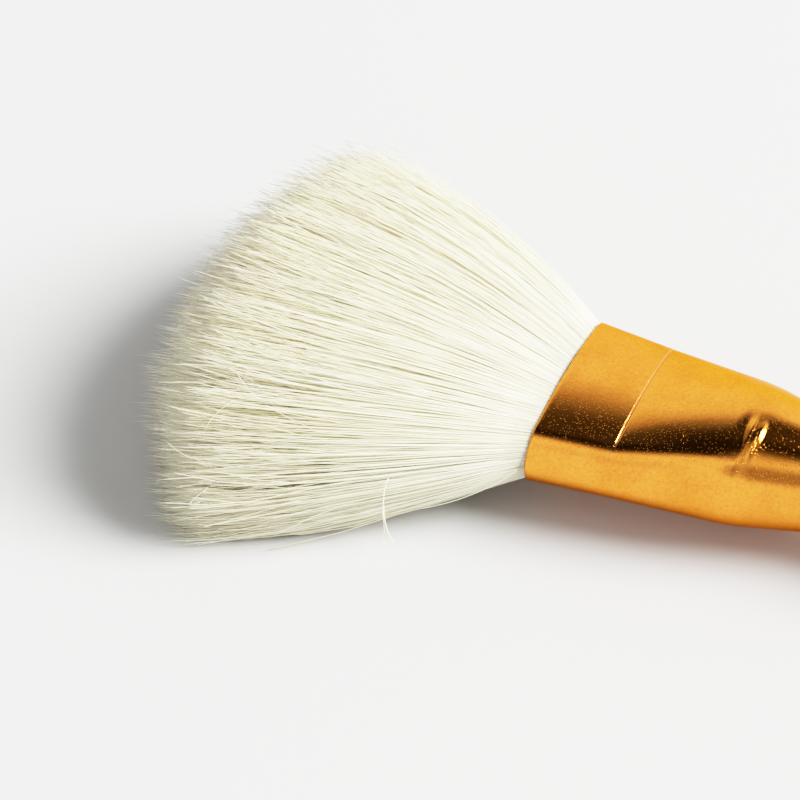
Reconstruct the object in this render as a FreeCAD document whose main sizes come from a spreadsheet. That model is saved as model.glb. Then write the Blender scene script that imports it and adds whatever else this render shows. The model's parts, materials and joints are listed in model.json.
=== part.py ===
import FreeCAD, Part
import math
import os
import Sketcher

# A soft neck duster brush: a goat hair tuft held in the pressed mouth of an aluminium ferrule, on a turned
# wooden handle. It is modelled along its own axis (the brush frame): X runs from the mouth of the ferrule
# (0) to the butt of the handle (+), the hair is at -X, Y is across the flattened mouth. At the end the whole
# brush is laid down on a table, as it rests: on the underside of its tuft and the butt of its handle.

DIMENSIONS = {
    # the lie of the brush on a table, in degrees
    "lay_angle": 0.6,
    # ferrule: a flat oval mouth, a crease where the pressing ends, a shoulder, and a neck that ends round
    "wall": 0.45,
    "mouth_width": 27.2,
    "mouth_thickness": 10.1,
    "mouth_end_radius": 4.2,
    "crease_at": 9.7,
    "crease_width": 24.9,
    "shoulder_at": 23.8,
    "shoulder_width": 20.4,
    "shoulder_thickness": 15.2,
    "shoulder_end_radius": 6.2,
    "neck_at": 40.0,
    "neck_diameter": 11.0,
    "ferrule_length": 48.0,
    "lip_radius": 0.12,
    # crimp rings that hold the ferrule on the tenon
    "crimp_count": 2,
    "crimp_at": 42.4,
    "crimp_pitch": 3.2,
    "crimp_radius": 0.7,
    "crimp_depth": 0.25,
    "ridge_foot": 0.3,
    # handle
    "tenon_nose": 30.0,
    "tenon_diameter": 9.9,
    "tenon_chamfer": 0.8,
    "handle_front_radius": 5.9,
    "flank_end": 93.0,
    "handle_radius": 8.0,
    "butt_radius": 5.0,
    "handle_end": 146.0,
    # glue collar round the tenon's nose, inside the neck
    "glue_front": 33.0,
    "glue_front_radius": 5.7,
    "glue_back": 39.8,
    "glue_gap": 0.02,
    # hair roots, tied below the crease
    "root_gap": 0.1,
    "knot_at": 8.6,
    "tie_at": 9.7,
    "tie_width": 21.8,
    "tie_thickness": 7.5,
    "tie_end_radius": 2.9,
    "root_end": 14.0,
    "thread_at": 10.2,
    "thread_diameter": 0.6,
    "thread_pitch": 0.52,
    "thread_turns": 5,
    # resin plug behind the roots
    "resin_front": 12.9,
    "resin_back": 18.5,
    "resin_gap": 0.18,
    # hair tuft: the flare of its sections, their droop below the axis, and the dome of its tips
    "hair_near": 10.0,
    "hair_near_width": 42.5,
    "hair_near_thickness": 17.5,
    "hair_near_droop": 0.5,
    "hair_middle": 22.0,
    "hair_middle_width": 56.5,
    "hair_middle_thickness": 25.4,
    "hair_middle_droop": 1.7,
    "hair_far": 36.5,
    "hair_far_width": 65.8,
    "hair_far_thickness": 31.8,
    "hair_far_droop": 3.6,
    "hair_length": 49.8,
    "hair_end_share": 0.3,
    "hair_tip_width": 66.4,
    "hair_tip_thickness": 32.6,
    "hair_tip_droop": 4.9,
    "dome_radius": 49.0,
    "dome_reach": 36.0,
    "face_radius": 21.0,
    "face_reach": 17.0,
    "trim_margin": 10.0,
}

doc = FreeCAD.newDocument("neck_duster_brush")
dims = doc.addObject("Spreadsheet::Sheet", "dims")
for row, (alias, number) in enumerate(DIMENSIONS.items(), start=1):
    dims.set("A%d" % row, alias)
    dims.set("B%d" % row, str(number))
    dims.setAlias("B%d" % row, alias)
doc.recompute()


def value(expression):
    """The number that an expression of the sheet's cells gives now."""
    return float(dims.evalExpression(expression))


def new_body(label):
    body = doc.addObject("PartDesign::Body", label)
    body.Label = label
    return body


def new_sketch(body, name, role, offset="0"):
    """A sketch on one of the body's own origin planes, moved out along the plane's normal."""
    plane = next(item for item in body.Origin.OriginFeatures if item.Role == role)
    sketch = body.newObject("Sketcher::SketchObject", name)
    sketch.AttachmentSupport = [(plane, "")]
    sketch.MapMode = "FlatFace"
    sketch.setExpression("AttachmentOffset.Base.z", offset)
    return sketch


def bind(sketch, kind, *geometry, size):
    """One driving constraint, whose value follows an expression of the sheet's cells."""
    index = sketch.addConstraint(Sketcher.Constraint(kind, *geometry, value(size)))
    sketch.setExpression("Constraints[%d]" % index, size)


def pin_point(sketch, geometry, end, x, y):
    """Holds one end of a line or arc at a place measured from the sketch's origin."""
    bind(sketch, "DistanceX", -1, 1, geometry, end, size=x)
    bind(sketch, "DistanceY", -1, 1, geometry, end, size=y)


def arc(x, y, radius, start, end):
    circle = Part.Circle(FreeCAD.Vector(x, y, 0), FreeCAD.Vector(0, 0, 1), radius)
    return Part.ArcOfCircle(circle, start, end)


def ring_sketch(body, name, station, corner_x, corner_y, side_radius, crown_radius, sink="0"):
    """A closed ring across the brush's axis: two side arcs and two crown arcs that meet at four corners.

    Sink is how far the ring's centre lies below the brush's axis.
    """
    sketch = new_sketch(body, name, "YZ_Plane", station)
    x, y, side, crown, low = (value(size) for size in (corner_x, corner_y, side_radius, crown_radius, sink))
    side_angle = math.asin(y / side)
    crown_angle = math.acos(x / crown)
    side_centre = x - side * math.cos(side_angle)
    crown_centre = y - crown * math.sin(crown_angle)
    sketch.addGeometry(arc(side_centre, -low, side, -side_angle, side_angle))
    sketch.addGeometry(arc(0, crown_centre - low, crown, crown_angle, math.pi - crown_angle))
    sketch.addGeometry(arc(-side_centre, -low, side, math.pi - side_angle, math.pi + side_angle))
    sketch.addGeometry(arc(0, -crown_centre - low, crown, math.pi + crown_angle, 2 * math.pi - crown_angle))
    signs = [("", "-"), ("", ""), ("-", ""), ("-", "-")]
    for index, (sign_x, sign_y) in enumerate(signs):
        sketch.addConstraint(Sketcher.Constraint("Coincident", index, 2, (index + 1) % 4, 1))
        place_x = "%s(%s)" % (sign_x, corner_x)
        place_y = "%s(%s) - (%s)" % (sign_y, corner_y, sink)
        pin_point(sketch, index, 1, place_x, place_y)
        bind(sketch, "Radius", index, size=crown_radius if index % 2 else side_radius)
    return sketch


def oval_sketch(body, name, station, width, thickness, end_radius, inset="0", sink="0"):
    """A flat oval: tight arcs at its two ends, and crowns that run into them smoothly."""
    half_width = "((%s) / 2 - (%s))" % (width, inset)
    half_thickness = "((%s) / 2 - (%s))" % (thickness, inset)
    side = "((%s) - (%s))" % (end_radius, inset)
    reach = "(%s - %s)" % (half_width, side)
    sagitta = "(%s - %s)" % (half_thickness, side)
    crown = "((%s ^ 2 + %s ^ 2 - %s ^ 2) / 2 / %s)" % (reach, half_thickness, side, sagitta)
    corner_x = "%s * %s / (%s - %s)" % (reach, crown, crown, side)
    corner_y = "(%s - %s) * %s / (%s - %s)" % (crown, half_thickness, side, crown, side)
    return ring_sketch(body, name, station, corner_x, corner_y, side, crown, sink)


def round_sketch(body, name, station, diameter, inset="0"):
    """A circle in the same four arcs, so that it can be lofted to an oval."""
    radius = "((%s) / 2 - (%s))" % (diameter, inset)
    corner = "%s * sqrt(0.5)" % radius
    return ring_sketch(body, name, station, corner, corner, radius, radius)


def loft(body, name, kind, sections, ruled=True):
    feature = body.newObject("PartDesign::" + kind, name)
    feature.Profile = sections[0]
    feature.Sections = sections[1:]
    feature.Ruled = ruled
    return feature


def outline_sketch(body, name, points, bows=None, role="XZ_Plane"):
    """A closed outline along the brush's axis, through points given as pairs of expressions.

    Bows maps the index of a side that is an arc to the expression of its radius. An arc with a minus sign
    bows to the left of its direction of travel, any other to the right.
    """
    sketch = new_sketch(body, name, role)
    bows = bows or {}
    places = [FreeCAD.Vector(value(x), value(y), 0) for x, y in points]
    ends = []
    for index, start in enumerate(places):
        end = places[(index + 1) % len(places)]
        if index in bows:
            radius = value(bows[index])
            first, last = (start, end) if radius > 0 else (end, start)
            sketch.addGeometry(arc_between(first, last, abs(radius)))
            ends.append((1, 2) if radius > 0 else (2, 1))
        else:
            sketch.addGeometry(Part.LineSegment(start, end))
            ends.append((1, 2))
    for index, (x, y) in enumerate(points):
        following = (index + 1) % len(points)
        sketch.addConstraint(
            Sketcher.Constraint("Coincident", index, ends[index][1], following, ends[following][0]))
        pin_point(sketch, index, ends[index][0], x, y)
        if index in bows:
            bind(sketch, "Radius", index, size="abs(%s)" % bows[index])
    return sketch


def arc_between(first, last, radius):
    """The short anticlockwise arc from first to last."""
    chord = last - first
    to_centre = math.sqrt(radius ** 2 - (chord.Length / 2) ** 2)
    left = FreeCAD.Vector(-chord.y, chord.x, 0).normalize()
    centre = (first + last) / 2 + left * to_centre
    start = math.atan2(first.y - centre.y, first.x - centre.x)
    end = math.atan2(last.y - centre.y, last.x - centre.x)
    return arc(centre.x, centre.y, radius, start, end)


def turned(body, name, kind, sketch):
    """A feature that is turned about the brush's axis."""
    feature = body.newObject("PartDesign::" + kind, name)
    feature.Profile = sketch
    feature.ReferenceAxis = (sketch, ["H_Axis"])
    feature.Angle = 360
    return feature


def ferrule_sections(body, name, inset):
    """The five rings that the ferrule's outside runs through, or its inside when inset by the wall."""
    mouth = ("dims.mouth_thickness", "dims.mouth_end_radius", inset)
    return [
        oval_sketch(body, name + "_mouth", "0", "dims.mouth_width", *mouth),
        oval_sketch(body, name + "_crease", "dims.crease_at", "dims.crease_width", *mouth),
        oval_sketch(body, name + "_shoulder", "dims.shoulder_at", "dims.shoulder_width",
                    "dims.shoulder_thickness", "dims.shoulder_end_radius", inset),
        round_sketch(body, name + "_neck", "dims.neck_at", "dims.neck_diameter", inset),
        round_sketch(body, name + "_rear", "dims.ferrule_length", "dims.neck_diameter", inset),
    ]


def crimp_ring(body, name, kind, radius, top):
    """A ring that follows the crimp: a round bow about a centre just outside the ferrule, cut off at top."""
    centre = "(dims.neck_diameter / 2 + dims.crimp_radius - dims.crimp_depth)"
    half = "sqrt((%s) ^ 2 - (%s - (%s)) ^ 2)" % (radius, centre, top)
    outline = outline_sketch(body, name + "_outline", [
        ("dims.crimp_at + %s" % half, top),
        ("dims.crimp_at - %s" % half, top),
    ], {1: "(%s)" % radius})
    return turned(body, name, kind, outline)


CRIMPS_LENGTH = "dims.crimp_pitch * (dims.crimp_count - 1)"


def repeat_along(body, name, features, count, length):
    """Repeats features along the brush's axis."""
    doc.recompute()
    pattern = body.newObject("PartDesign::LinearPattern", name)
    pattern.Originals = features
    pattern.Direction = (features[-1].Profile[0], ["H_Axis"])
    pattern.setExpression("Occurrences", count)
    pattern.setExpression("Length", length)
    body.Tip = pattern


def edges_at(shape, station):
    """The names of the edges that lie wholly at one station along the brush."""
    return ["Edge%d" % number for number, edge in enumerate(shape.Edges, start=1)
            if abs(edge.BoundBox.XMin - station) + abs(edge.BoundBox.XMax - station) < 1e-4]


def make_ferrule():
    """One drawn aluminium tube, pressed flat at the hair and crimped on the handle."""
    body = new_body("ferrule")
    loft(body, "ferrule_outside", "AdditiveLoft", ferrule_sections(body, "outside", "0"))
    tube = loft(body, "ferrule_inside", "SubtractiveLoft", ferrule_sections(body, "inside", "dims.wall"))
    doc.recompute()
    lip = body.newObject("PartDesign::Fillet", "mouth_lip")
    lip.Base = (tube, edges_at(tube.Shape, 0))
    lip.setExpression("Radius", "dims.lip_radius")
    # each crimp raises a ridge inside, as deep as the groove that is pressed in from outside
    ridge_foot = "dims.neck_diameter / 2 - dims.ridge_foot"
    rings = [
        crimp_ring(body, "crimp_ridge", "Revolution", "dims.crimp_radius + dims.wall", ridge_foot),
        crimp_ring(body, "crimp_groove", "Groove", "dims.crimp_radius", "dims.neck_diameter / 2"),
    ]
    repeat_along(body, "crimps", rings, "dims.crimp_count", CRIMPS_LENGTH)
    return body


def make_handle():
    """Turned wood: a tenon inside the ferrule, an ogee flank, a straight grip and a rounded butt."""
    body = new_body("handle")
    tenon = "dims.tenon_diameter / 2"
    nose = "%s - dims.tenon_chamfer" % tenon
    flank_middle = "(dims.ferrule_length + dims.flank_end) / 2"
    flank_length = "(dims.flank_end - dims.ferrule_length)"
    flank_rise = "(dims.handle_radius - dims.handle_front_radius)"
    flank_bow = "(%s ^ 2 + %s ^ 2) / %s / 4" % (flank_length, flank_rise, flank_rise)
    outline = outline_sketch(body, "handle_outline", [
        ("dims.tenon_nose", "0"),
        ("dims.handle_end", "0"),
        ("dims.handle_end", "dims.handle_radius - dims.butt_radius"),
        ("dims.handle_end - dims.butt_radius", "dims.handle_radius"),
        ("dims.flank_end", "dims.handle_radius"),
        (flank_middle, "(dims.handle_front_radius + dims.handle_radius) / 2"),
        ("dims.ferrule_length", "dims.handle_front_radius"),
        ("dims.ferrule_length", tenon),
        ("dims.tenon_nose + dims.tenon_chamfer", tenon),
        ("dims.tenon_nose", nose),
    ], {2: "dims.butt_radius", 4: flank_bow, 5: "-%s" % flank_bow})
    turned(body, "handle_turning", "Revolution", outline)
    bite = crimp_ring(body, "crimp_bite", "Groove", "dims.crimp_radius + dims.wall + dims.glue_gap", tenon)
    repeat_along(body, "crimp_bites", [bite], "dims.crimp_count", CRIMPS_LENGTH)
    return body


def make_handle_glue():
    """The collar of glue round the tenon's nose, wedged in the taper of the neck."""
    body = new_body("handle_glue")
    inside = "dims.tenon_diameter / 2 + dims.glue_gap"
    outline = outline_sketch(body, "glue_outline", [
        ("dims.glue_front", inside),
        ("dims.glue_back", inside),
        ("dims.glue_back", "dims.neck_diameter / 2 - dims.wall - dims.glue_gap"),
        ("dims.glue_front", "dims.glue_front_radius"),
    ])
    turned(body, "glue_collar", "Revolution", outline)
    return body


def tie_sketch(body, name, station, outset="0"):
    """The waist that the thread pulls the hair roots down to."""
    size = ("dims.tie_width", "dims.tie_thickness", "dims.tie_end_radius")
    return oval_sketch(body, name, station, *size, inset="-(%s)" % outset)


def hair_section(body, stage, station):
    """A section of the fan of hair, which widens, thickens and droops towards its tips."""
    size = ["dims.hair_%s_%s" % (stage, word) for word in ("width", "thickness", "droop")]
    end_radius = "dims.hair_%s_thickness * dims.hair_end_share" % stage
    return oval_sketch(body, "fan_" + stage, station, size[0], size[1], end_radius, sink=size[2])


def make_hair_tuft():
    """The whole bundle of hair as one soft solid: its tied roots, its fan, and its domed tips."""
    body = new_body("hair_tuft")
    mouth = ("dims.mouth_thickness", "dims.mouth_end_radius", "dims.wall + dims.root_gap")
    narrowing = "(dims.mouth_width - dims.crease_width) * dims.knot_at / dims.crease_at"
    loft(body, "roots", "AdditiveLoft", [
        oval_sketch(body, "roots_mouth", "0", "dims.mouth_width", *mouth),
        oval_sketch(body, "roots_knot", "dims.knot_at", "dims.mouth_width - %s" % narrowing, *mouth),
        tie_sketch(body, "roots_tie", "dims.tie_at"),
        tie_sketch(body, "roots_end", "dims.root_end"),
    ])
    loft(body, "fan", "AdditiveLoft", [
        oval_sketch(body, "fan_mouth", "0", "dims.mouth_width", *mouth),
        hair_section(body, "near", "-dims.hair_near"),
        hair_section(body, "middle", "-dims.hair_middle"),
        hair_section(body, "far", "-dims.hair_far"),
        hair_section(body, "tip", "-dims.hair_length"),
    ], ruled=False)
    trim_beyond_bow(body, "dome", "XY_Plane", "dims.dome_radius", "dims.dome_reach", "0")
    trim_beyond_bow(body, "face", "XZ_Plane", "dims.face_radius", "dims.face_reach", "dims.hair_tip_droop")
    # the underside lies pressed on the table
    behind = "-dims.hair_length - dims.trim_margin"
    deep = "-dims.hair_tip_thickness - dims.trim_margin"
    table = outline_sketch(body, "table_outline", [
        (behind, deep),
        ("0", deep),
        ("0", table_under("0")),
        (behind, table_under(behind)),
    ])
    cut_through(body, "table_cut", table)
    return body


def trim_beyond_bow(body, name, role, radius, reach, sink):
    """Cuts off what lies beyond a round bow that touches the end of the hair."""
    end = "-dims.hair_length"
    side = "%s + %s - sqrt(%s ^ 2 - %s ^ 2)" % (end, radius, radius, reach)
    beyond = "%s - dims.trim_margin" % end
    outline = outline_sketch(body, name + "_outline", [
        (side, "-%s - %s" % (reach, sink)),
        (side, "%s - %s" % (reach, sink)),
        (beyond, "%s - %s" % (reach, sink)),
        (beyond, "-%s - %s" % (reach, sink)),
    ], {0: "-%s" % radius}, role)
    cut_through(body, name + "_cut", outline)


def cut_through(body, name, sketch):
    """A pocket right through the body, both ways from its sketch."""
    pocket = body.newObject("PartDesign::Pocket", name)
    pocket.Profile = sketch
    pocket.Type = "ThroughAll"
    pocket.Midplane = True


LAY_ANGLE = "(dims.lay_angle * 1 deg)"
# how high the brush's axis is above the table at the mouth of the ferrule
MOUTH_HEIGHT = (
    "((dims.handle_end - dims.butt_radius) * sin(%s)"
    " + (dims.handle_radius - dims.butt_radius) * cos(%s) + dims.butt_radius)" % (LAY_ANGLE, LAY_ANGLE))


def table_under(x):
    """The table's height in the brush frame, at a station along the brush."""
    return "((%s) * sin(%s) - %s) / cos(%s)" % (x, LAY_ANGLE, MOUTH_HEIGHT, LAY_ANGLE)


def make_root_thread():
    """Thread wound round the hair roots, turn against turn."""
    body = new_body("root_thread")
    radius = "dims.thread_diameter / 2"
    outset = "%s + dims.glue_gap" % radius
    path = tie_sketch(body, "turn_path", "dims.thread_at", outset)
    section = new_sketch(body, "turn_section", "XZ_Plane")
    height = "dims.tie_thickness / 2 + %s" % outset
    centre = FreeCAD.Vector(value("dims.thread_at"), value(height), 0)
    section.addGeometry(Part.Circle(centre, FreeCAD.Vector(0, 0, 1), value(radius)))
    pin_point(section, 0, 3, "dims.thread_at", height)
    bind(section, "Radius", 0, size=radius)
    turn = body.newObject("PartDesign::AdditivePipe", "turn")
    turn.Profile = section
    turn.Spine = (path, ["Edge%d" % number for number in range(1, 5)])
    repeat_along(body, "turns", [turn], "dims.thread_turns", "dims.thread_pitch * (dims.thread_turns - 1)")
    return body


def resin_section(body, name, station):
    """The ferrule's inside between its crease and its shoulder, less a small gap."""
    share = "(%s - dims.crease_at) / (dims.shoulder_at - dims.crease_at)" % station
    pairs = [("crease_width", "shoulder_width"), ("mouth_thickness", "shoulder_thickness"),
             ("mouth_end_radius", "shoulder_end_radius")]
    size = ["dims.%s + (dims.%s - dims.%s) * %s" % (front, back, front, share) for front, back in pairs]
    return oval_sketch(body, name, station, *size, inset="dims.wall + dims.resin_gap")


def make_root_resin():
    """The plug of cast resin that holds the hair roots, with the pocket that they leave in it."""
    body = new_body("root_resin")
    loft(body, "plug", "AdditiveLoft", [
        resin_section(body, "plug_front", "dims.resin_front"),
        resin_section(body, "plug_back", "dims.resin_back"),
    ])
    loft(body, "root_pocket", "SubtractiveLoft", [
        tie_sketch(body, "pocket_mouth", "dims.resin_front", "dims.glue_gap"),
        tie_sketch(body, "pocket_floor", "dims.root_end + dims.glue_gap", "dims.glue_gap"),
    ])
    return body


def check_document():
    """Stops at any object that failed, because a recompute doesn't."""
    for item in doc.Objects:
        if {"Invalid", "Error"} & set(item.State):
            raise RuntimeError("%s failed: %s" % (item.Name, item.State))


def lay_down(pieces):
    """Lays the brush on the table, with the middle of its outline on the origin."""
    turn = FreeCAD.Rotation(FreeCAD.Vector(0, 1, 0), value("dims.lay_angle"))
    turned_shapes = [piece.Shape.copy() for piece in pieces]
    for shape in turned_shapes:
        shape.Placement = FreeCAD.Placement(FreeCAD.Vector(0, 0, 0), turn)
    box = Part.makeCompound(turned_shapes).optimalBoundingBox(False)
    move = FreeCAD.Vector(-box.Center.x, -box.Center.y, value(MOUTH_HEIGHT))
    for piece in pieces:
        piece.Placement = FreeCAD.Placement(move, turn)
    return move


PIECES = [
    make_hair_tuft(),
    make_root_thread(),
    make_root_resin(),
    make_ferrule(),
    make_handle_glue(),
    make_handle(),
]
doc.recompute()
check_document()
mouth_place = lay_down(PIECES)
doc.recompute()
check_document()

os.makedirs("parts", exist_ok=True)
for piece in PIECES:
    shape = piece.Shape
    if shape.isNull() or not shape.isValid() or shape.Volume <= 0:
        raise RuntimeError("%s has no sound shape" % piece.Label)
    shape.exportStep("parts/%s.step" % piece.Label)
    print("%-12s %10.1f mm3 %3d solids" % (piece.Label, shape.Volume, len(shape.Solids)))
print("mouth of the ferrule at", [round(number, 3) for number in mouth_place])
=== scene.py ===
import json
import math

import bpy
import numpy as np
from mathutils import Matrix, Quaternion, Vector


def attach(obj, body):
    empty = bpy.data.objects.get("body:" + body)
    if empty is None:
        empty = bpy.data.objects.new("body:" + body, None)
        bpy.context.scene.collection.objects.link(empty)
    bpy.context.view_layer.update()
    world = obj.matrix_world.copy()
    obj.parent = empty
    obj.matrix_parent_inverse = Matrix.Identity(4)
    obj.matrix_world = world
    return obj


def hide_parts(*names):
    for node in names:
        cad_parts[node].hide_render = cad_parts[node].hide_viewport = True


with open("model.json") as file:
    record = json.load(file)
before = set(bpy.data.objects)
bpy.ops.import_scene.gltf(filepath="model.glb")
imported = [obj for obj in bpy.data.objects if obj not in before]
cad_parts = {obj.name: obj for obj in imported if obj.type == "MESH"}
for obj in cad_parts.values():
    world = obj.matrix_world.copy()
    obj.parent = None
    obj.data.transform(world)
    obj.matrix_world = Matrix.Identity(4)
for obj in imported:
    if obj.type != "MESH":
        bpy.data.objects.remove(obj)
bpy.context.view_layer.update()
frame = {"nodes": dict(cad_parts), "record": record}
MM = 0.001
RNG = np.random.default_rng(7)

# The brush's own axes: the handle's grip is the record's one mount, and its axis is the brush's axis.
GRIP = next(mount for mount in frame["record"]["mounts"] if mount["name"] == "handle_grip")
GRIP_FROM_MOUTH = 117 * MM
ALONG = np.array(GRIP["axis"])
ACROSS = np.array([0.0, 1.0, 0.0])
UPWARD = np.cross(ALONG, ACROSS)
MOUTH = np.array(GRIP["pos_m"]) - ALONG * GRIP_FROM_MOUTH


def to_row(points):
    """Brush coordinates (x to the handle, y across, z up from its axis) as row coordinates."""
    return MOUTH + points @ np.stack([ALONG, ACROSS, UPWARD])


def add_piece(name, mesh, material, node_name):
    """Puts a mesh in the scene in place of a CAD node, on the brush's one body."""
    piece = bpy.data.objects.new(name, mesh)
    bpy.context.scene.collection.objects.link(piece)
    mesh.materials.append(material)
    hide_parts(node_name)
    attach(piece, "root")


def grid_mesh(name, grid, rows_close):
    """A smooth mesh on rows of points that each run right round; the rows may close on themselves too."""
    rows, columns, _ = grid.shape
    faces = []
    for row in range(rows if rows_close else rows - 1):
        for column in range(columns):
            beside = (column + 1) % columns
            below = (row + 1) % rows
            faces.append((row * columns + column, row * columns + beside,
                          below * columns + beside, below * columns + column))
    if not rows_close:
        faces.append(tuple(range(columns))[::-1])
        faces.append(tuple((rows - 1) * columns + column for column in range(columns)))
    mesh = bpy.data.meshes.new(name)
    mesh.from_pydata(grid.reshape(-1, 3).tolist(), [], faces)
    mesh.polygons.foreach_set("use_smooth", np.ones(len(faces), bool))
    return mesh


def set_values(mesh, name, values):
    """Stores one number for each point of a mesh, for its material to read."""
    stored = mesh.attributes.new(name, "FLOAT", "POINT")
    stored.data.foreach_set("value", values.reshape(-1).astype(np.float32))


# ---------------------------------------------------------------- hair

# each value named GROWTH is the power with which something grows along the hair, from its root to its tip
STRANDS = 17500
BUNDLES = 6
HAIR_RADIUS = 0.068 * MM
# the thinnest and thickest hair beside the usual one, and a hair's radius near its tip beside its root
THICKNESS = (0.65, 1.25)
TIP_SHARE = 0.6
TAPER_GROWTH = 3
TUBE_SIDES = 3
# the tuft's form: the mouth that it fills, and how it flares, droops and rounds off at its end
MOUTH_HALF_WIDTH = 13.0 * MM
MOUTH_HALF_THICKNESS = 4.45 * MM
MOUTH_SQUARENESS = 3.1
ROOT_DEPTH = 2.5 * MM
HAIR_LENGTH = 49.6 * MM
FLARE_WIDTH = 19.7 * MM
FLARE_THICKNESS = 11.9 * MM
FLARE_BEND = 1.57
DROOP = 4.9 * MM
DROOP_GROWTH = 1.5
DOME_ACROSS = 0.247
DOME_ACROSS_NEAR = 0.28
DOME_THROUGH = 0.151
# hairs bend within this layer above the table, and the deepest ones lie this many e-folds down in it
TABLE_LAYER = 2.0 * MM
TABLE_FOLDS = 4
# the hairs' lengths beside the tuft's: usual, spread, shortest and longest, and the spread between clumps
LENGTH_SHARE = 0.98
LENGTH_SPREAD = 0.035
LENGTH_LIMITS = (0.88, 1.05)
CLUMP_LENGTH_SPREAD = 0.018
# some hairs are shorter than the rest
SHORTER_HAIRS = 0.16
SHORTER_SHARE = (0.7, 0.97)
# clumps: how far each leans by its tips, and the most that its hairs are drawn together
CLUMPS = 900
CLUMP_LEAN = 0.2 * MM
CLUMP_PULL = 0.16
PULL_GROWTH = 1.8
# each hair's own lean by its tip, across and through the tuft, and its slow waves: size, the shape of the
# sizes' gamma distribution, and number
HAIR_LEAN = np.array([0.75, 0.65]) * MM
LEAN_GROWTH = 1.4
WAVE_SIZE = 0.12 * MM
WAVE_SIZE_SHAPE = 2.0
WAVES = (0.6, 2.2)
# how far along a hair its points are: the first is inside the ferrule, the second in its mouth
STATIONS = np.array([0, 0, 0.08, 0.18, 0.3, 0.44, 0.58, 0.71, 0.83, 0.95, 1.0])
# the hairs are closer together on the outside: 0.5 would spread them evenly
OUTWARD = 0.3
# the inner mass: its reach along the hair, its size beside the tuft's, its sides and its rings, and how
# small its first ring is
CORE_REACH = 0.6
CORE_SHARE = 0.94
CORE_SIDES = 480
CORE_RINGS = 40
CORE_ROOT = 0.01
# how round the mass's end is, and the uneven ripples along its surface
CORE_ROUNDING = np.radians([30, 60, 85])
CORE_END = 0.03
CORE_RIPPLES = 37
CORE_RIPPLE = 0.012
CORE_ROUGHNESS = 0.006
# how white the hairs are, 0 to 1, how much less a clump or a tip may be, and the mass's own shade
SHADE = (0.65, 1)
CLUMP_SHADE = 0.35
# the tips' lower shade is partly the hairs' own yellowing and partly painted shade
TIP_SHADE = 0.16
TIP_SHADE_GROWTH = 1.5
CORE_SHADE = 0.8
CORE_SHADE_SPREAD = 0.12
# where the tips start to bend away, as a share of the length, and how far
TIP_BEND_FROM = 0.55
TIP_BEND = 1.15 * MM
# loose hairs that stand out: how many, among how many of the outermost, how far their tips lean at most and
# the share of it that they do lean, and how far their direction strays from straight out
FLYAWAYS = 260
FLYAWAYS_AMONG = STRANDS // 4
FLYAWAY_LEAN = 2.0 * MM
FLYAWAY_LEAN_SHARE = (0.2, 1)
FLYAWAY_GROWTH = 1.7
FLYAWAY_TURN = 0.6
# stray hairs across the tuft: share of the length, angle round the tuft in degrees, lift above it in mm
STRAYS = [
    [(0.88, 127, 0.4), (0.81, 134, 0.9), (0.73, 139, 1.0), (0.66, 142, 0.9), (0.58, 146, 0.5)],
    [(0.84, 138, 0.3), (0.885, 143, 1.0), (0.905, 147, 1.2), (0.91, 150, 0.9)],
    [(1.03, 152, 1.0), (1.0, 154, 1.0), (0.96, 156, 0.8), (0.9, 158, 0.3)],
    [(0.37, 169, 0.3), (0.373, 179, 1.0), (0.365, 192, 2.0), (0.335, 203, 3.6), (0.31, 208, 4.6)],
    [(0.368, 188, 1.8), (0.35, 203, 3.4), (0.345, 209, 4.4)],
    [(0.9, 168, 0.3), (0.93, 171, 1.0), (0.955, 174, 1.2), (0.935, 173, 1.5), (0.91, 172, 1.3)],
    [(0.02, 185, 0.2), (0.07, 196, 0.6), (0.14, 202, 0.9), (0.22, 204, 0.9), (0.3, 203, 0.6)],
]


def root_discs(count):
    """Places in a unit disc in a sunflower's order, closer together near its rim, a little disturbed."""
    turn = math.pi * (3 - math.sqrt(5))
    number = np.arange(count)
    radius = ((number + 0.5) / count) ** OUTWARD
    angle = number * turn
    spread = 0.5 / math.sqrt(count)
    a = radius * np.cos(angle) + RNG.normal(0, spread, count)
    b = radius * np.sin(angle) + RNG.normal(0, spread, count)
    over = np.maximum(1, np.hypot(a, b))
    return a / over, b / over


def squared(a, b):
    """Widens a unit disc to a rounded square, the form of the pressed mouth."""
    angle = np.arctan2(b, a)
    n = MOUTH_SQUARENESS
    reach = (np.abs(np.cos(angle)) ** n + np.abs(np.sin(angle)) ** n) ** (-1 / n)
    return a * reach, b * reach


def fan(a, b, t, lift=0.0):
    """Brush coordinates in the fan of hair: at (a, b) of the unit disc, at a share t of the length."""
    mouth_a, mouth_b = squared(a, b)
    flare = 1 - np.clip(1 - t, 0, 1) ** FLARE_BEND
    across = np.where(a < 0, DOME_ACROSS_NEAR, DOME_ACROSS)
    x = -HAIR_LENGTH * (1 - across * a ** 2 - DOME_THROUGH * b ** 2) * t
    y = MOUTH_HALF_WIDTH * mouth_a + (FLARE_WIDTH * flare + lift) * a
    z = MOUTH_HALF_THICKNESS * mouth_b + (FLARE_THICKNESS * flare + lift) * b - DROOP * t ** DROOP_GROWTH
    return np.stack(np.broadcast_arrays(x, y, z), -1)


def rest_on_table(points):
    """Bends hairs that would reach below the table so that they lie on it."""
    height = points[..., 2]
    pressed = TABLE_LAYER * np.exp(np.clip((height - TABLE_LAYER) / TABLE_LAYER, -TABLE_FOLDS, 0))
    points[..., 2] = np.where(height < TABLE_LAYER, pressed, height)
    return points


def nearest(values, guides):
    """The index of the nearest guide for each row of values."""
    found = np.empty(len(values), int)
    step = 2000
    for start in range(0, len(values), step):
        block = values[start:start + step]
        found[start:start + step] = ((block[:, None] - guides[None]) ** 2).sum(2).argmin(1)
    return found


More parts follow.
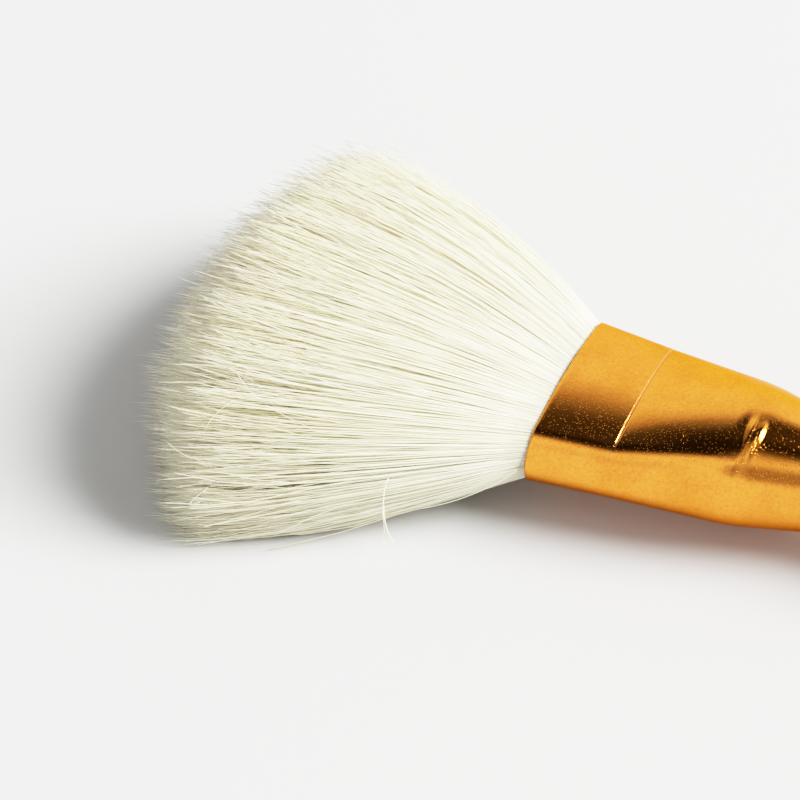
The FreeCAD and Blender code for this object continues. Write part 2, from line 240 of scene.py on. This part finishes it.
def hair_paths():
    """Every hair's points in the row frame, as an array of strands, stations and coordinates."""
    a, b = root_discs(STRANDS)
    guides = RNG.choice(STRANDS, CLUMPS, replace=False)
    spread = np.stack([a * FLARE_WIDTH, b * FLARE_THICKNESS], 1)
    clump = nearest(spread, spread[guides])
    share = np.clip(RNG.normal(LENGTH_SHARE, LENGTH_SPREAD, STRANDS), *LENGTH_LIMITS)
    share += RNG.normal(0, CLUMP_LENGTH_SPREAD, CLUMPS)[clump]
    shorter = RNG.random(STRANDS) < SHORTER_HAIRS
    share[shorter] *= RNG.uniform(*SHORTER_SHARE, shorter.sum())
    paths = fan(a[:, None], b[:, None], STATIONS[None, :] * share[:, None])
    paths[:, 0, 0] = ROOT_DEPTH
    t = STATIONS[None, :, None]
    lean = RNG.normal(0, 1, (STRANDS, 1, 2)) * HAIR_LEAN
    lean += (RNG.normal(0, 1, (CLUMPS, 1, 2)) * CLUMP_LEAN)[clump]
    paths[..., 1:] += t ** LEAN_GROWTH * lean
    # each hair leans towards the guide hair of its clump
    pull = RNG.uniform(0, CLUMP_PULL, CLUMPS)[clump][:, None, None] * t ** PULL_GROWTH
    paths[..., 1:] += pull * (paths[guides[clump]] - paths)[..., 1:]
    # a slow wave in each hair, and a tip that bends away on its own
    phase = RNG.uniform(0, 2 * math.pi, (STRANDS, 1, 2))
    waves = RNG.uniform(*WAVES, (STRANDS, 1, 2))
    size = RNG.gamma(WAVE_SIZE_SHAPE, WAVE_SIZE, (STRANDS, 1, 1))
    paths[..., 1:] += size * t * np.sin(2 * math.pi * waves * t + phase)
    bend = np.clip((t - TIP_BEND_FROM) / (1 - TIP_BEND_FROM), 0, 1) ** 2
    paths[..., 1:] += bend * RNG.normal(0, TIP_BEND, (STRANDS, 1, 2))
    # hairs near the surface of the fan may stand out of it
    outer = np.argsort(-np.hypot(a, b))[:FLYAWAYS_AMONG]
    loose = RNG.choice(outer, FLYAWAYS, replace=False)
    outward = np.stack([a, b], 1)[loose][:, None] + RNG.normal(0, FLYAWAY_TURN, (FLYAWAYS, 1, 2))
    reach = RNG.uniform(*FLYAWAY_LEAN_SHARE, (FLYAWAYS, 1, 1))
    paths[loose, :, 1:] += t ** FLYAWAY_GROWTH * outward * reach * FLYAWAY_LEAN
    paths = np.concatenate([paths, stray_paths()])
    shade = RNG.uniform(*SHADE, len(paths))
    shade[:STRANDS] -= CLUMP_SHADE * RNG.random(CLUMPS)[clump]
    # the tips get a lower shade: partly the hairs' yellowing, partly painted shade
    return rest_on_table(to_row(paths)), yellower_tips_and_painted_shade(shade[:, None], STATIONS[None, :])


def yellower_tips_and_painted_shade(shade, share):
    """Lowers shades towards the tips, as yellowing and painted shade; the share is how far along the hair.
    """
    return shade - TIP_SHADE * share ** TIP_SHADE_GROWTH


def stray_paths():
    """The stray hairs as smooth paths with as many points as the others have."""
    paths = []
    for points in STRAYS:
        share, angle, lift = np.array(points).T
        angle = np.radians(angle)
        corners = fan(np.cos(angle), np.sin(angle), share, lift * MM)
        place = np.linspace(0, 1, len(corners))
        order = np.polyfit(place, corners, min(3, len(corners) - 1))
        even = np.linspace(0, 1, len(STATIONS))
        paths.append(sum(term * even[:, None] ** power for power, term in enumerate(order[::-1])))
    return np.array(paths)


def tubes(name, paths, radii, shade):
    """One mesh of fine tubes that taper to a point, one along each path."""
    count, stations, _ = paths.shape
    tangent = np.gradient(paths, axis=1)
    tangent /= np.linalg.norm(tangent, axis=2, keepdims=True)
    side = RNG.normal(size=(count, 1, 3))
    first = np.cross(tangent, side)
    first /= np.linalg.norm(first, axis=2, keepdims=True)
    second = np.cross(tangent, first)
    angles = np.arange(TUBE_SIDES) * 2 * math.pi / TUBE_SIDES
    ring = (first[:, :, None] * np.cos(angles)[None, None, :, None]
            + second[:, :, None] * np.sin(angles)[None, None, :, None])
    body = paths[:, :-1, None] + ring[:, :-1] * radii[:, :-1, None, None]
    per_hair = TUBE_SIDES * (stations - 1) + 1
    vertices = np.concatenate([body.reshape(count, -1, 3), paths[:, -1:]], 1)
    faces = []
    for station in range(stations - 1):
        for corner in range(TUBE_SIDES):
            here = TUBE_SIDES * station + corner
            there = TUBE_SIDES * station + (corner + 1) % TUBE_SIDES
            if station < stations - 2:
                faces.append((here, there, there + TUBE_SIDES, here + TUBE_SIDES))
            else:
                faces.append((here, there, per_hair - 1))
    faces.append(tuple(range(TUBE_SIDES))[::-1])
    corners = np.concatenate([np.array(face) for face in faces])
    sizes = np.array([len(face) for face in faces])
    mesh = bpy.data.meshes.new(name)
    mesh.vertices.add(count * per_hair)
    mesh.vertices.foreach_set("co", vertices.reshape(-1).astype(np.float32))
    offsets = np.arange(count)[:, None] * per_hair
    mesh.loops.add(count * len(corners))
    mesh.loops.foreach_set("vertex_index", (corners[None] + offsets).reshape(-1).astype(np.int32))
    mesh.polygons.add(count * len(sizes))
    loop_sizes = np.tile(sizes, count)
    starts = np.concatenate([[0], np.cumsum(loop_sizes)[:-1]])
    mesh.polygons.foreach_set("loop_start", starts.astype(np.int32))
    mesh.polygons.foreach_set("use_smooth", np.ones(len(loop_sizes), bool))
    around = np.repeat(shade[:, :-1], TUBE_SIDES, axis=1)
    set_values(mesh, "shade", np.concatenate([around, shade[:, -1:]], 1))
    mesh.update(calc_edges=True)
    mesh.validate()
    return mesh


def make_hair(material):
    """The hairs in a few bundles side by side, so that no mesh is too large."""
    paths, shade = hair_paths()
    thick = RNG.uniform(*THICKNESS, (len(paths), 1)) * HAIR_RADIUS
    radii = thick * (1 - (1 - TIP_SHARE) * STATIONS[None, :] ** TAPER_GROWTH)
    order = np.argsort(paths[:, -1, 1])
    for number, rows in enumerate(np.array_split(order, BUNDLES), start=1):
        name = "hair_bundle_%d" % number
        add_piece(name, tubes(name, paths[rows], radii[rows], shade[rows]), material, "hair_tuft")


def make_core(material):
    """The inner mass of the tuft, below the loose hairs of its outside."""
    side = np.linspace(0, CORE_REACH, CORE_RINGS)
    ring = CORE_SHARE * np.concatenate([[CORE_ROOT], np.ones(len(side)), np.cos(CORE_ROUNDING)])
    share = np.concatenate([[0], side, CORE_REACH + CORE_END * np.sin(CORE_ROUNDING)])
    angle = np.arange(CORE_SIDES) * 2 * math.pi / CORE_SIDES
    ripple = 1 + CORE_RIPPLE * np.sin(CORE_RIPPLES * angle) + RNG.normal(0, CORE_ROUGHNESS, CORE_SIDES)
    ring = ring[:, None] * ripple
    points = fan(ring * np.cos(angle), ring * np.sin(angle), share[:, None])
    mesh = grid_mesh("hair_core", rest_on_table(to_row(points)), rows_close=False)
    shade = CORE_SHADE + RNG.normal(0, CORE_SHADE_SPREAD, CORE_SIDES)
    # the mass too gets a lower shade towards its end: partly yellowing, partly painted shade
    set_values(mesh, "shade", yellower_tips_and_painted_shade(shade, share[:, None]))
    add_piece("hair_core", mesh, material, "hair_tuft")


# ---------------------------------------------------------------- ferrule

# the tube's sections: station, width, thickness and end radius
SECTIONS = np.array([
    (0.0, 27.2, 10.1, 4.2),
    (9.7, 24.9, 10.1, 4.2),
    (23.8, 20.4, 15.2, 6.2),
    (40.0, 11.0, 11.0, 5.4),
    (48.0, 11.0, 11.0, 5.4),
]) * MM
WALL = 0.45 * MM
SHOULDER = SECTIONS[2, 0]
SHOULDER_BLEND = 1.3 * MM
SHOULDER_ROUNDNESS = 0.8
# the crease at the end of the pressed part: its form, its reach across the tube, and its painted highlight
CREASE = SECTIONS[1, 0]
CREASE_DEPTH = 0.13 * MM
CREASE_WIDTH = 0.13 * MM
CREASE_HALF_REACH = 9.5 * MM
CREASE_FADE = 0.5 * MM
CREASE_HIGHLIGHT = 0.3
CREASE_HIGHLIGHT_FROM = 0.8
CREASE_HIGHLIGHT_FADE = 0.04
# folds at the shoulder, all in mm: station, length in front and behind, height, and the middle and reach
# of each across the tube
FOLDS = [
    (23.6, 5.0, 1.3, 0.34, -8.2, 3.2),
    (24.3, 0.5, 0.35, 0.34, -4.0, 1.7),
    (24.9, 0.3, 0.35, 0.30, -4.3, 1.5),
    (25.4, 0.3, 0.35, 0.26, -3.6, 1.2),
]
FOLDS_ABOVE = 1.5 * MM
FOLDS_FADE = 0.7 * MM
CRIMPS = (42.4 * MM, 45.6 * MM)
CRIMP_DEPTH = 0.25 * MM
CRIMP_WIDTH = 0.42 * MM
# faint waves that the drawing and pressing left all over the tube
WAVE_HEIGHT = 0.02 * MM
WAVE_STEPS = np.array([3.1, 4.3, 5.2]) * MM
WAVE_STARTS = (1.3, 0.4)
# points round a quarter of the tube, and the share of them spread by length rather than by angle
QUARTER_POINTS = 44
BY_LENGTH = 0.6
# rings along the outside and the inside, on the rolled lip, and extra ones at the crease, the folds and the
# crimps: how far before and after each, in mm, and how many
OUTSIDE_RINGS = 130
INSIDE_RINGS = 60
LIP_RINGS = 9
CREASE_RINGS = (-0.36, 0.36, 25)
SHOULDER_RINGS = (-1, 3, 51)
CRIMP_RINGS = (-1, 1, 13)


def section_sizes(x):
    """Width, thickness and end radius at stations x, with the shoulder a little rounded."""
    sizes = []
    for column in (1, 2, 3):
        plain = np.interp(x, SECTIONS[:, 0], SECTIONS[:, column])
        ahead = np.interp(x + SHOULDER_BLEND, SECTIONS[:, 0], SECTIONS[:, column])
        behind = np.interp(x - SHOULDER_BLEND, SECTIONS[:, 0], SECTIONS[:, column])
        near = np.exp(-((x - SHOULDER) / (2 * SHOULDER_BLEND)) ** 2)
        sizes.append(plain + near * ((ahead + behind) / 2 - plain) * SHOULDER_ROUNDNESS)
    return sizes


def oval_point(width, thickness, end_radius, angle):
    """A point of a flat oval of four arcs where its normal has this angle, 0 to 90 degrees."""
    reach = width / 2 - end_radius
    rise = np.maximum(thickness - 2 * end_radius, 1e-9)
    crown = (reach ** 2 + thickness ** 2 / 4 - end_radius ** 2) / rise
    change = np.arctan2(crown - thickness / 2, reach)
    on_end = angle < change
    y = np.where(on_end, reach + end_radius * np.cos(angle), crown * np.cos(angle))
    z = np.where(on_end, end_radius * np.sin(angle), crown * np.sin(angle) - crown + thickness / 2)
    return y, z


def bell(distance, width):
    """1 at no distance, falling off smoothly to nothing."""
    return np.exp(-(distance / width) ** 2)


def soft_step(distance, width):
    """0 well before a place, 1 well after it."""
    return 1 / (1 + np.exp(-distance / width))


def relief(x, y, z):
    """How far the surface stands out from its plain sections: its crease, folds, crimps and waves."""
    within = soft_step(CREASE_HALF_REACH - np.abs(y), CREASE_FADE)
    out = -CREASE_DEPTH * bell(x - CREASE, CREASE_WIDTH) * within
    # the pressing left small folds on the near side of the shoulder
    for fold, front, behind, height, middle, reach in np.array(FOLDS) * MM:
        along = bell(x - fold, np.where(x < fold, front, behind))
        out = out + height * along * bell(y - middle, reach) * soft_step(z - FOLDS_ABOVE, FOLDS_FADE)
    for crimp in CRIMPS:
        out = out - CRIMP_DEPTH * bell(x - crimp, CRIMP_WIDTH)
    along, across, up = WAVE_STEPS
    start_x, start_y = WAVE_STARTS
    return out + WAVE_HEIGHT * np.sin(x / along + start_x) * np.sin(y / across + start_y) * np.cos(z / up)


def ring_angles(count):
    """Normal angles right round a section, closer together where it bends."""
    fine = np.linspace(0, math.pi / 2, 4001)
    y, z = oval_point(SECTIONS[0, 1], SECTIONS[0, 2], SECTIONS[0, 3], fine)
    length = np.concatenate([[0], np.cumsum(np.hypot(np.diff(y), np.diff(z)))])
    progress = BY_LENGTH * length / length[-1] + (1 - BY_LENGTH) * fine / fine[-1]
    quarter = np.interp(np.arange(count + 1) / count, progress, fine)
    back = quarter[count:0:-1]
    return np.concatenate([quarter[:-1], math.pi - back, math.pi + quarter[:-1], 2 * math.pi - back])


def ferrule_point(x, angle, inset):
    """Points of the tube's wall in the row frame, at a depth below its outer surface."""
    width, thickness, end_radius = section_sizes(x)
    folded = np.arctan2(np.abs(np.sin(angle)), np.abs(np.cos(angle)))
    y, z = oval_point(width, thickness, end_radius, folded)
    y, z = y * np.sign(np.cos(angle)), z * np.sign(np.sin(angle))
    out = relief(x, y, z) - inset
    return to_row(np.stack([x, y + out * np.cos(angle), z + out * np.sin(angle)], -1))


def make_ferrule(material):
    """The drawn tube as one closed wall: outside, rounded lip, inside and back edge."""
    lip = WALL / 2
    end = SECTIONS[-1, 0]
    outside = np.concatenate([
        np.linspace(lip, end, OUTSIDE_RINGS),
        CREASE + np.linspace(*CREASE_RINGS) * MM,
        SHOULDER + np.linspace(*SHOULDER_RINGS) * MM,
        *(crimp + np.linspace(*CRIMP_RINGS) * MM for crimp in CRIMPS),
    ])
    outside = np.unique(outside.round(6))[::-1]
    roll = np.linspace(0, math.pi, LIP_RINGS)[1:-1]
    inside = np.linspace(lip, end, INSIDE_RINGS)
    x = np.concatenate([outside, lip * (1 - np.sin(roll)), inside])
    inset = np.concatenate([0 * outside, lip * (1 - np.cos(roll)), 0 * inside + WALL])
    angle = ring_angles(QUARTER_POINTS)
    station, turn = np.meshgrid(x, angle, indexing="ij")
    mesh = grid_mesh("ferrule_tube", ferrule_point(station, turn, inset[:, None]), rows_close=True)
    # a painted highlight: pale gold along the crease, on the top of the tube only
    along_crease = bell(x - CREASE, CREASE_WIDTH) * (inset == 0)
    round_crease = CREASE_HIGHLIGHT * soft_step(np.sin(angle) - CREASE_HIGHLIGHT_FROM, CREASE_HIGHLIGHT_FADE)
    set_values(mesh, "crease_highlight", np.outer(along_crease, round_crease))
    add_piece("ferrule_tube", mesh, material, "ferrule")


# ---------------------------------------------------------------- materials

# the gold: which cells of the fine pattern hold a speck, from where to where its edge fades, and the heights
SPECKS_ABOVE = 0.35
SPECK_EDGE = (0.3, 0.05)
SPECK_HEIGHT = 0.012 * MM
GRAIN_HEIGHT = 0.004 * MM


def new_material(name):
    """A new material with its node tree and its shader."""
    material = bpy.data.materials.new(name)
    material.use_nodes = True
    tree = material.node_tree
    return material, tree, tree.nodes["Principled BSDF"]


def node(tree, kind, **settings):
    """A new shader node, with each setting put on its input or its property of that name."""
    made = tree.nodes.new(kind)
    for key, setting in settings.items():
        if key in made.inputs:
            made.inputs[key].default_value = setting
        else:
            setattr(made, key, setting)
    return made


def ramp(tree, source, stops):
    """The colour that a value stands for, between the colours of its stops."""
    made = tree.nodes.new("ShaderNodeValToRGB")
    elements = made.color_ramp.elements
    for index, (place, colour) in enumerate(stops):
        element = elements[index] if index < 2 else elements.new(place)
        element.position = place
        element.color = (*colour, 1)
    tree.links.new(source, made.inputs["Fac"])
    return made.outputs["Color"]


def hair_material():
    """Undyed goat hair: cream, each hair a little different, and light shines through it."""
    material, tree, shader = new_material("goat_hair")
    # each point's shade: its hair's own tone, with yellowing and painted shade towards the tips
    strand = node(tree, "ShaderNodeAttribute", attribute_name="shade")
    colour = ramp(tree, strand.outputs["Fac"], [
        (0.0, (0.93, 0.85, 0.58)),
        (0.35, (0.987, 0.956, 0.80)),
        (1.0, (0.998, 0.987, 0.885)),
    ])
    tree.links.new(colour, shader.inputs["Base Color"])
    shader.inputs["Roughness"].default_value = 0.45
    shader.inputs["Specular IOR Level"].default_value = 0.5
    through = node(tree, "ShaderNodeBsdfTranslucent")
    tree.links.new(colour, through.inputs["Color"])
    mix = node(tree, "ShaderNodeMixShader")
    mix.inputs["Fac"].default_value = 0.5
    tree.links.new(shader.outputs["BSDF"], mix.inputs[1])
    tree.links.new(through.outputs["BSDF"], mix.inputs[2])
    tree.links.new(mix.outputs["Shader"], tree.nodes["Material Output"].inputs["Surface"])
    return material


def gold_material():
    """Bright-dipped aluminium with a warm gold dye: nearly a mirror, with a fine grain that glints."""
    material, tree, shader = new_material("gold_anodised")
    place = node(tree, "ShaderNodeTexCoord")
    cloud = node(tree, "ShaderNodeTexNoise", Scale=2600.0, Detail=4.0, Roughness=0.7)
    tree.links.new(place.outputs["Object"], cloud.inputs["Vector"])
    colour = ramp(tree, cloud.outputs["Fac"], [
        (0.3, (0.80, 0.235, 0.030)),
        (0.5, (0.93, 0.31, 0.040)),
        (0.72, (0.99, 0.36, 0.052)),
    ])
    # the dye took a little unevenly
    patches = node(tree, "ShaderNodeTexNoise", Scale=190.0, Detail=3.0, Roughness=0.6)
    tree.links.new(place.outputs["Object"], patches.inputs["Vector"])
    uneven = node(tree, "ShaderNodeMixRGB", blend_type="MULTIPLY", Fac=1.0)
    tree.links.new(colour, uneven.inputs["Color1"])
    tone = ramp(tree, patches.outputs["Fac"], [(0.38, (0.90, 0.87, 0.80)), (0.6, (1.0, 1.0, 1.0))])
    tree.links.new(tone, uneven.inputs["Color2"])
    # and a painted highlight: the colour turns pale gold along the top of the crease
    crease_highlight = node(tree, "ShaderNodeAttribute", attribute_name="crease_highlight")
    painted_highlight = node(tree, "ShaderNodeMixRGB", Color2=(1.0, 0.72, 0.36, 1))
    tree.links.new(crease_highlight.outputs["Fac"], painted_highlight.inputs["Fac"])
    tree.links.new(uneven.outputs["Color"], painted_highlight.inputs["Color1"])
    tree.links.new(painted_highlight.outputs["Color"], shader.inputs["Base Color"])
    # round specks of dust under the lacquer, in some of the cells of a fine pattern
    cells = node(tree, "ShaderNodeTexVoronoi", Scale=4200.0)
    tree.links.new(place.outputs["Object"], cells.inputs["Vector"])
    speck = node(tree, "ShaderNodeMapRange", interpolation_type="SMOOTHSTEP")
    speck.inputs["From Min"].default_value, speck.inputs["From Max"].default_value = SPECK_EDGE
    tree.links.new(cells.outputs["Distance"], speck.inputs["Value"])
    chosen = node(tree, "ShaderNodeMath", operation="GREATER_THAN")
    chosen.inputs[1].default_value = SPECKS_ABOVE
    tree.links.new(cells.outputs["Color"], chosen.inputs[0])
    height = node(tree, "ShaderNodeMath", operation="MULTIPLY")
    tree.links.new(speck.outputs["Result"], height.inputs[0])
    tree.links.new(chosen.outputs["Value"], height.inputs[1])
    specks = node(tree, "ShaderNodeBump", Strength=1.0, Distance=SPECK_HEIGHT)
    tree.links.new(height.outputs["Value"], specks.inputs["Height"])
    # and the fine grain of the metal
    grain = node(tree, "ShaderNodeBump", Strength=1.0, Distance=GRAIN_HEIGHT)
    tree.links.new(cloud.outputs["Fac"], grain.inputs["Height"])
    tree.links.new(specks.outputs["Normal"], grain.inputs["Normal"])
    tree.links.new(grain.outputs["Normal"], shader.inputs["Normal"])
    shader.inputs["Metallic"].default_value = 1.0
    shader.inputs["Specular Tint"].default_value = (1.0, 0.7, 0.4, 1)
    shader.inputs["Roughness"].default_value = 0.13
    return material


def wood_material():
    """Turned beech under a clear satin lacquer."""
    material, tree, shader = new_material("lacquered_beech")
    place = node(tree, "ShaderNodeTexCoord")
    stretch = node(tree, "ShaderNodeMapping")
    stretch.inputs["Scale"].default_value = (0.06, 1.0, 1.0)
    tree.links.new(place.outputs["Object"], stretch.inputs["Vector"])
    figure = node(tree, "ShaderNodeTexNoise", Scale=420.0, Detail=5.0, Roughness=0.55)
    tree.links.new(stretch.outputs["Vector"], figure.inputs["Vector"])
    colour = ramp(tree, figure.outputs["Fac"], [
        (0.3, (0.27, 0.14, 0.06)),
        (0.55, (0.41, 0.24, 0.115)),
        (0.8, (0.50, 0.32, 0.17)),
    ])
    tree.links.new(colour, shader.inputs["Base Color"])
    shader.inputs["Roughness"].default_value = 0.35
    shader.inputs["Coat Weight"].default_value = 0.6
    shader.inputs["Coat Roughness"].default_value = 0.12
    return material


def mottled_material(name, dark, light, scale, roughness):
    """A plain hidden material with a fine mottle."""
    material, tree, shader = new_material(name)
    place = node(tree, "ShaderNodeTexCoord")
    mottle = node(tree, "ShaderNodeTexNoise", Scale=scale, Detail=3.0)
    tree.links.new(place.outputs["Object"], mottle.inputs["Vector"])
    colour = ramp(tree, mottle.outputs["Fac"], [(0.35, dark), (0.65, light)])
    tree.links.new(colour, shader.inputs["Base Color"])
    shader.inputs["Roughness"].default_value = roughness
    return material


def dress(name, material):
    """Gives a CAD node a material in every slot."""
    piece = frame["nodes"][name]
    if not piece.data.materials:
        piece.data.materials.append(material)
    for slot in piece.material_slots:
        slot.material = material


# ---------------------------------------------------------------- studio

# azimuths and elevations are in degrees: the camera's place, the lamp's and the patches of sky
VIEW_FROM = (21.12, 39.6)
VIEW_ROLL = math.radians(2.28)
VIEW_DISTANCE = 0.48
VIEW_WIDTH = 0.096
MOUTH_RIGHT_OF_MIDDLE = 19.8 * MM
SENSOR = 36.0


def direction(azimuth, elevation):
    """A unit vector: azimuth 0 is towards -Y, positive towards +X."""
    azimuth, elevation = math.radians(azimuth), math.radians(elevation)
    level = math.cos(elevation)
    return (math.sin(azimuth) * level, -math.cos(azimuth) * level, math.sin(elevation))


def make_camera():
    """Looks down on the lying brush; the ferrule's mouth is right of the picture's middle."""
    back = Vector(direction(*VIEW_FROM))
    turn = back.to_track_quat("Z", "Y") @ Quaternion((0, 0, 1), VIEW_ROLL)
    right = turn @ Vector((1, 0, 0))
    data = bpy.data.cameras.new("camera")
    data.sensor_width = SENSOR
    data.lens = SENSOR * VIEW_DISTANCE / VIEW_WIDTH
    camera = bpy.data.objects.new("camera", data)
    camera.rotation_mode = "QUATERNION"
    camera.rotation_quaternion = turn
    camera.location = Vector(MOUTH) + back * VIEW_DISTANCE - right * MOUTH_RIGHT_OF_MIDDLE
    bpy.context.scene.collection.objects.link(camera)
    bpy.context.scene.camera = camera


# the picture's tones: unchanged up to the start of the film's shoulder, and white at the brightest
UNCHANGED_TO = 0.35
BRIGHTEST = 4.0
CURVE_STEPS = (0.175, 0.35, 0.5, 0.7, 0.9, 1.15, 1.5, 2.0, 2.7)
# the lamp, and the walls' light: at the sides it is a share of that in front and behind, and the change is
# between two cosines of the angle to the walls in front and behind
KEY_FROM = (107, 37)
KEY_DISTANCE = 3.0
KEY_SIZE = 1.9
KEY_POWER = 380.0
WALL_LIGHT = 1.55
SIDE_WALLS = 0.2
SIDE_WALLS_BETWEEN = (0.45, 0.8)
# round patches of sky: where, the radii where its edge starts and ends, and its share of the light
CEILING = ((-165, 78), 21, 39, 0.028)
PHOTOGRAPHER = ((24, 42), 3, 24, 0.3)
FLOOR_HALF_WIDTH = 3.0


def make_key_light():
    """A soft round lamp high on the handle's side."""
    data = bpy.data.lights.new("key", "AREA")
    data.shape = "DISK"
    data.size = KEY_SIZE
    data.energy = KEY_POWER
    lamp = bpy.data.objects.new("key", data)
    aim = Vector(direction(*KEY_FROM))
    lamp.location = Vector(MOUTH) + aim * KEY_DISTANCE
    lamp.rotation_mode = "QUATERNION"
    lamp.rotation_quaternion = aim.to_track_quat("Z", "Y")
    bpy.context.scene.collection.objects.link(lamp)


def dimmed(tree, place, strength, middle, inner, outer, level):
    """Lowers a strength to a share of itself within a round patch of the sky, with a soft edge."""
    angle = node(tree, "ShaderNodeVectorMath", operation="DOT_PRODUCT")
    angle.inputs[1].default_value = direction(*middle)
    tree.links.new(place, angle.inputs[0])
    patch = node(tree, "ShaderNodeMapRange", interpolation_type="SMOOTHSTEP")
    patch.inputs["From Min"].default_value = math.cos(math.radians(outer))
    patch.inputs["From Max"].default_value = math.cos(math.radians(inner))
    patch.inputs["To Min"].default_value = 1.0
    patch.inputs["To Max"].default_value = level
    tree.links.new(angle.outputs["Value"], patch.inputs["Value"])
    product = node(tree, "ShaderNodeMath", operation="MULTIPLY")
    tree.links.new(strength, product.inputs[0])
    tree.links.new(patch.outputs["Result"], product.inputs[1])
    return product.outputs["Value"]


def wall_strength(tree, place):
    """Bright walls in front and behind, dimmer ones at the two sides."""
    level = node(tree, "ShaderNodeVectorMath", operation="MULTIPLY")
    level.inputs[1].default_value = (1, 1, 0)
    tree.links.new(place, level.inputs[0])
    heading = node(tree, "ShaderNodeVectorMath", operation="NORMALIZE")
    tree.links.new(level.outputs["Vector"], heading.inputs[0])
    ahead = node(tree, "ShaderNodeVectorMath", operation="DOT_PRODUCT")
    ahead.inputs[1].default_value = (0, 1, 0)
    tree.links.new(heading.outputs["Vector"], ahead.inputs[0])
    either_way = node(tree, "ShaderNodeMath", operation="ABSOLUTE")
    tree.links.new(ahead.outputs["Value"], either_way.inputs[0])
    strength = node(tree, "ShaderNodeMapRange", interpolation_type="SMOOTHSTEP")
    strength.inputs["From Min"].default_value = SIDE_WALLS_BETWEEN[0]
    strength.inputs["From Max"].default_value = SIDE_WALLS_BETWEEN[1]
    strength.inputs["To Min"].default_value = WALL_LIGHT * SIDE_WALLS
    strength.inputs["To Max"].default_value = WALL_LIGHT
    tree.links.new(either_way.outputs["Value"], strength.inputs["Value"])
    return strength.outputs["Result"]


def make_world():
    """A bright studio with a dark ceiling and a dim patch where the photographer stands."""
    world = bpy.data.worlds.new("studio")
    world.use_nodes = True
    tree = world.node_tree
    background = tree.nodes["Background"]
    place = node(tree, "ShaderNodeTexCoord").outputs["Generated"]
    strength = dimmed(tree, place, wall_strength(tree, place), *CEILING)
    strength = dimmed(tree, place, strength, *PHOTOGRAPHER)
    tree.links.new(strength, background.inputs["Strength"])
    background.inputs["Color"].default_value = (1, 1, 1, 1)
    bpy.context.scene.world = world


def make_floor():
    """A plain pale floor."""
    mesh = bpy.data.meshes.new("floor")
    corners = [(side * FLOOR_HALF_WIDTH, end * FLOOR_HALF_WIDTH, 0)
               for side, end in ((-1, -1), (1, -1), (1, 1), (-1, 1))]
    mesh.from_pydata(corners, [], [(0, 1, 2, 3)])
    floor = bpy.data.objects.new("floor", mesh)
    bpy.context.scene.collection.objects.link(floor)
    material, _, shader = new_material("floor")
    shader.inputs["Base Color"].default_value = (0.51, 0.51, 0.504, 1)
    shader.inputs["Roughness"].default_value = 0.7
    shader.inputs["Specular IOR Level"].default_value = 0.2
    mesh.materials.append(material)


def set_film_curve(view):
    """Plain colours in the shade, and a soft shoulder that keeps detail in what is very bright."""
    view.view_transform = "Standard"
    view.use_curve_mapping = True
    curves = view.curve_mapping
    curves.white_level = (BRIGHTEST,) * 3
    curve = curves.curves[3]
    for light in CURVE_STEPS:
        above = max(0, light - UNCHANGED_TO)
        room = 1 - UNCHANGED_TO
        shown = light - above + room * (1 - math.exp(-above / room))
        curve.points.new(light / BRIGHTEST, shown)
    curve.points[-1].location = (1, 1)
    curves.update()


goat_hair = hair_material()
make_hair(goat_hair)
make_core(goat_hair)
make_ferrule(gold_material())
dress("handle", wood_material())
dress("root_resin", mottled_material("amber_resin", (0.50, 0.33, 0.12), (0.62, 0.45, 0.2), 300.0, 0.2))
dress("handle_glue", mottled_material("dried_glue", (0.72, 0.68, 0.55), (0.82, 0.79, 0.68), 500.0, 0.6))
dress("root_thread", mottled_material("waxed_thread", (0.60, 0.55, 0.46), (0.75, 0.71, 0.62), 2500.0, 0.7))

make_camera()
make_world()
make_floor()
make_key_light()
scene = bpy.context.scene
set_film_curve(scene.view_settings)
scene.cycles.max_bounces = 24
scene.cycles.diffuse_bounces = 16
scene.cycles.transmission_bounces = 24
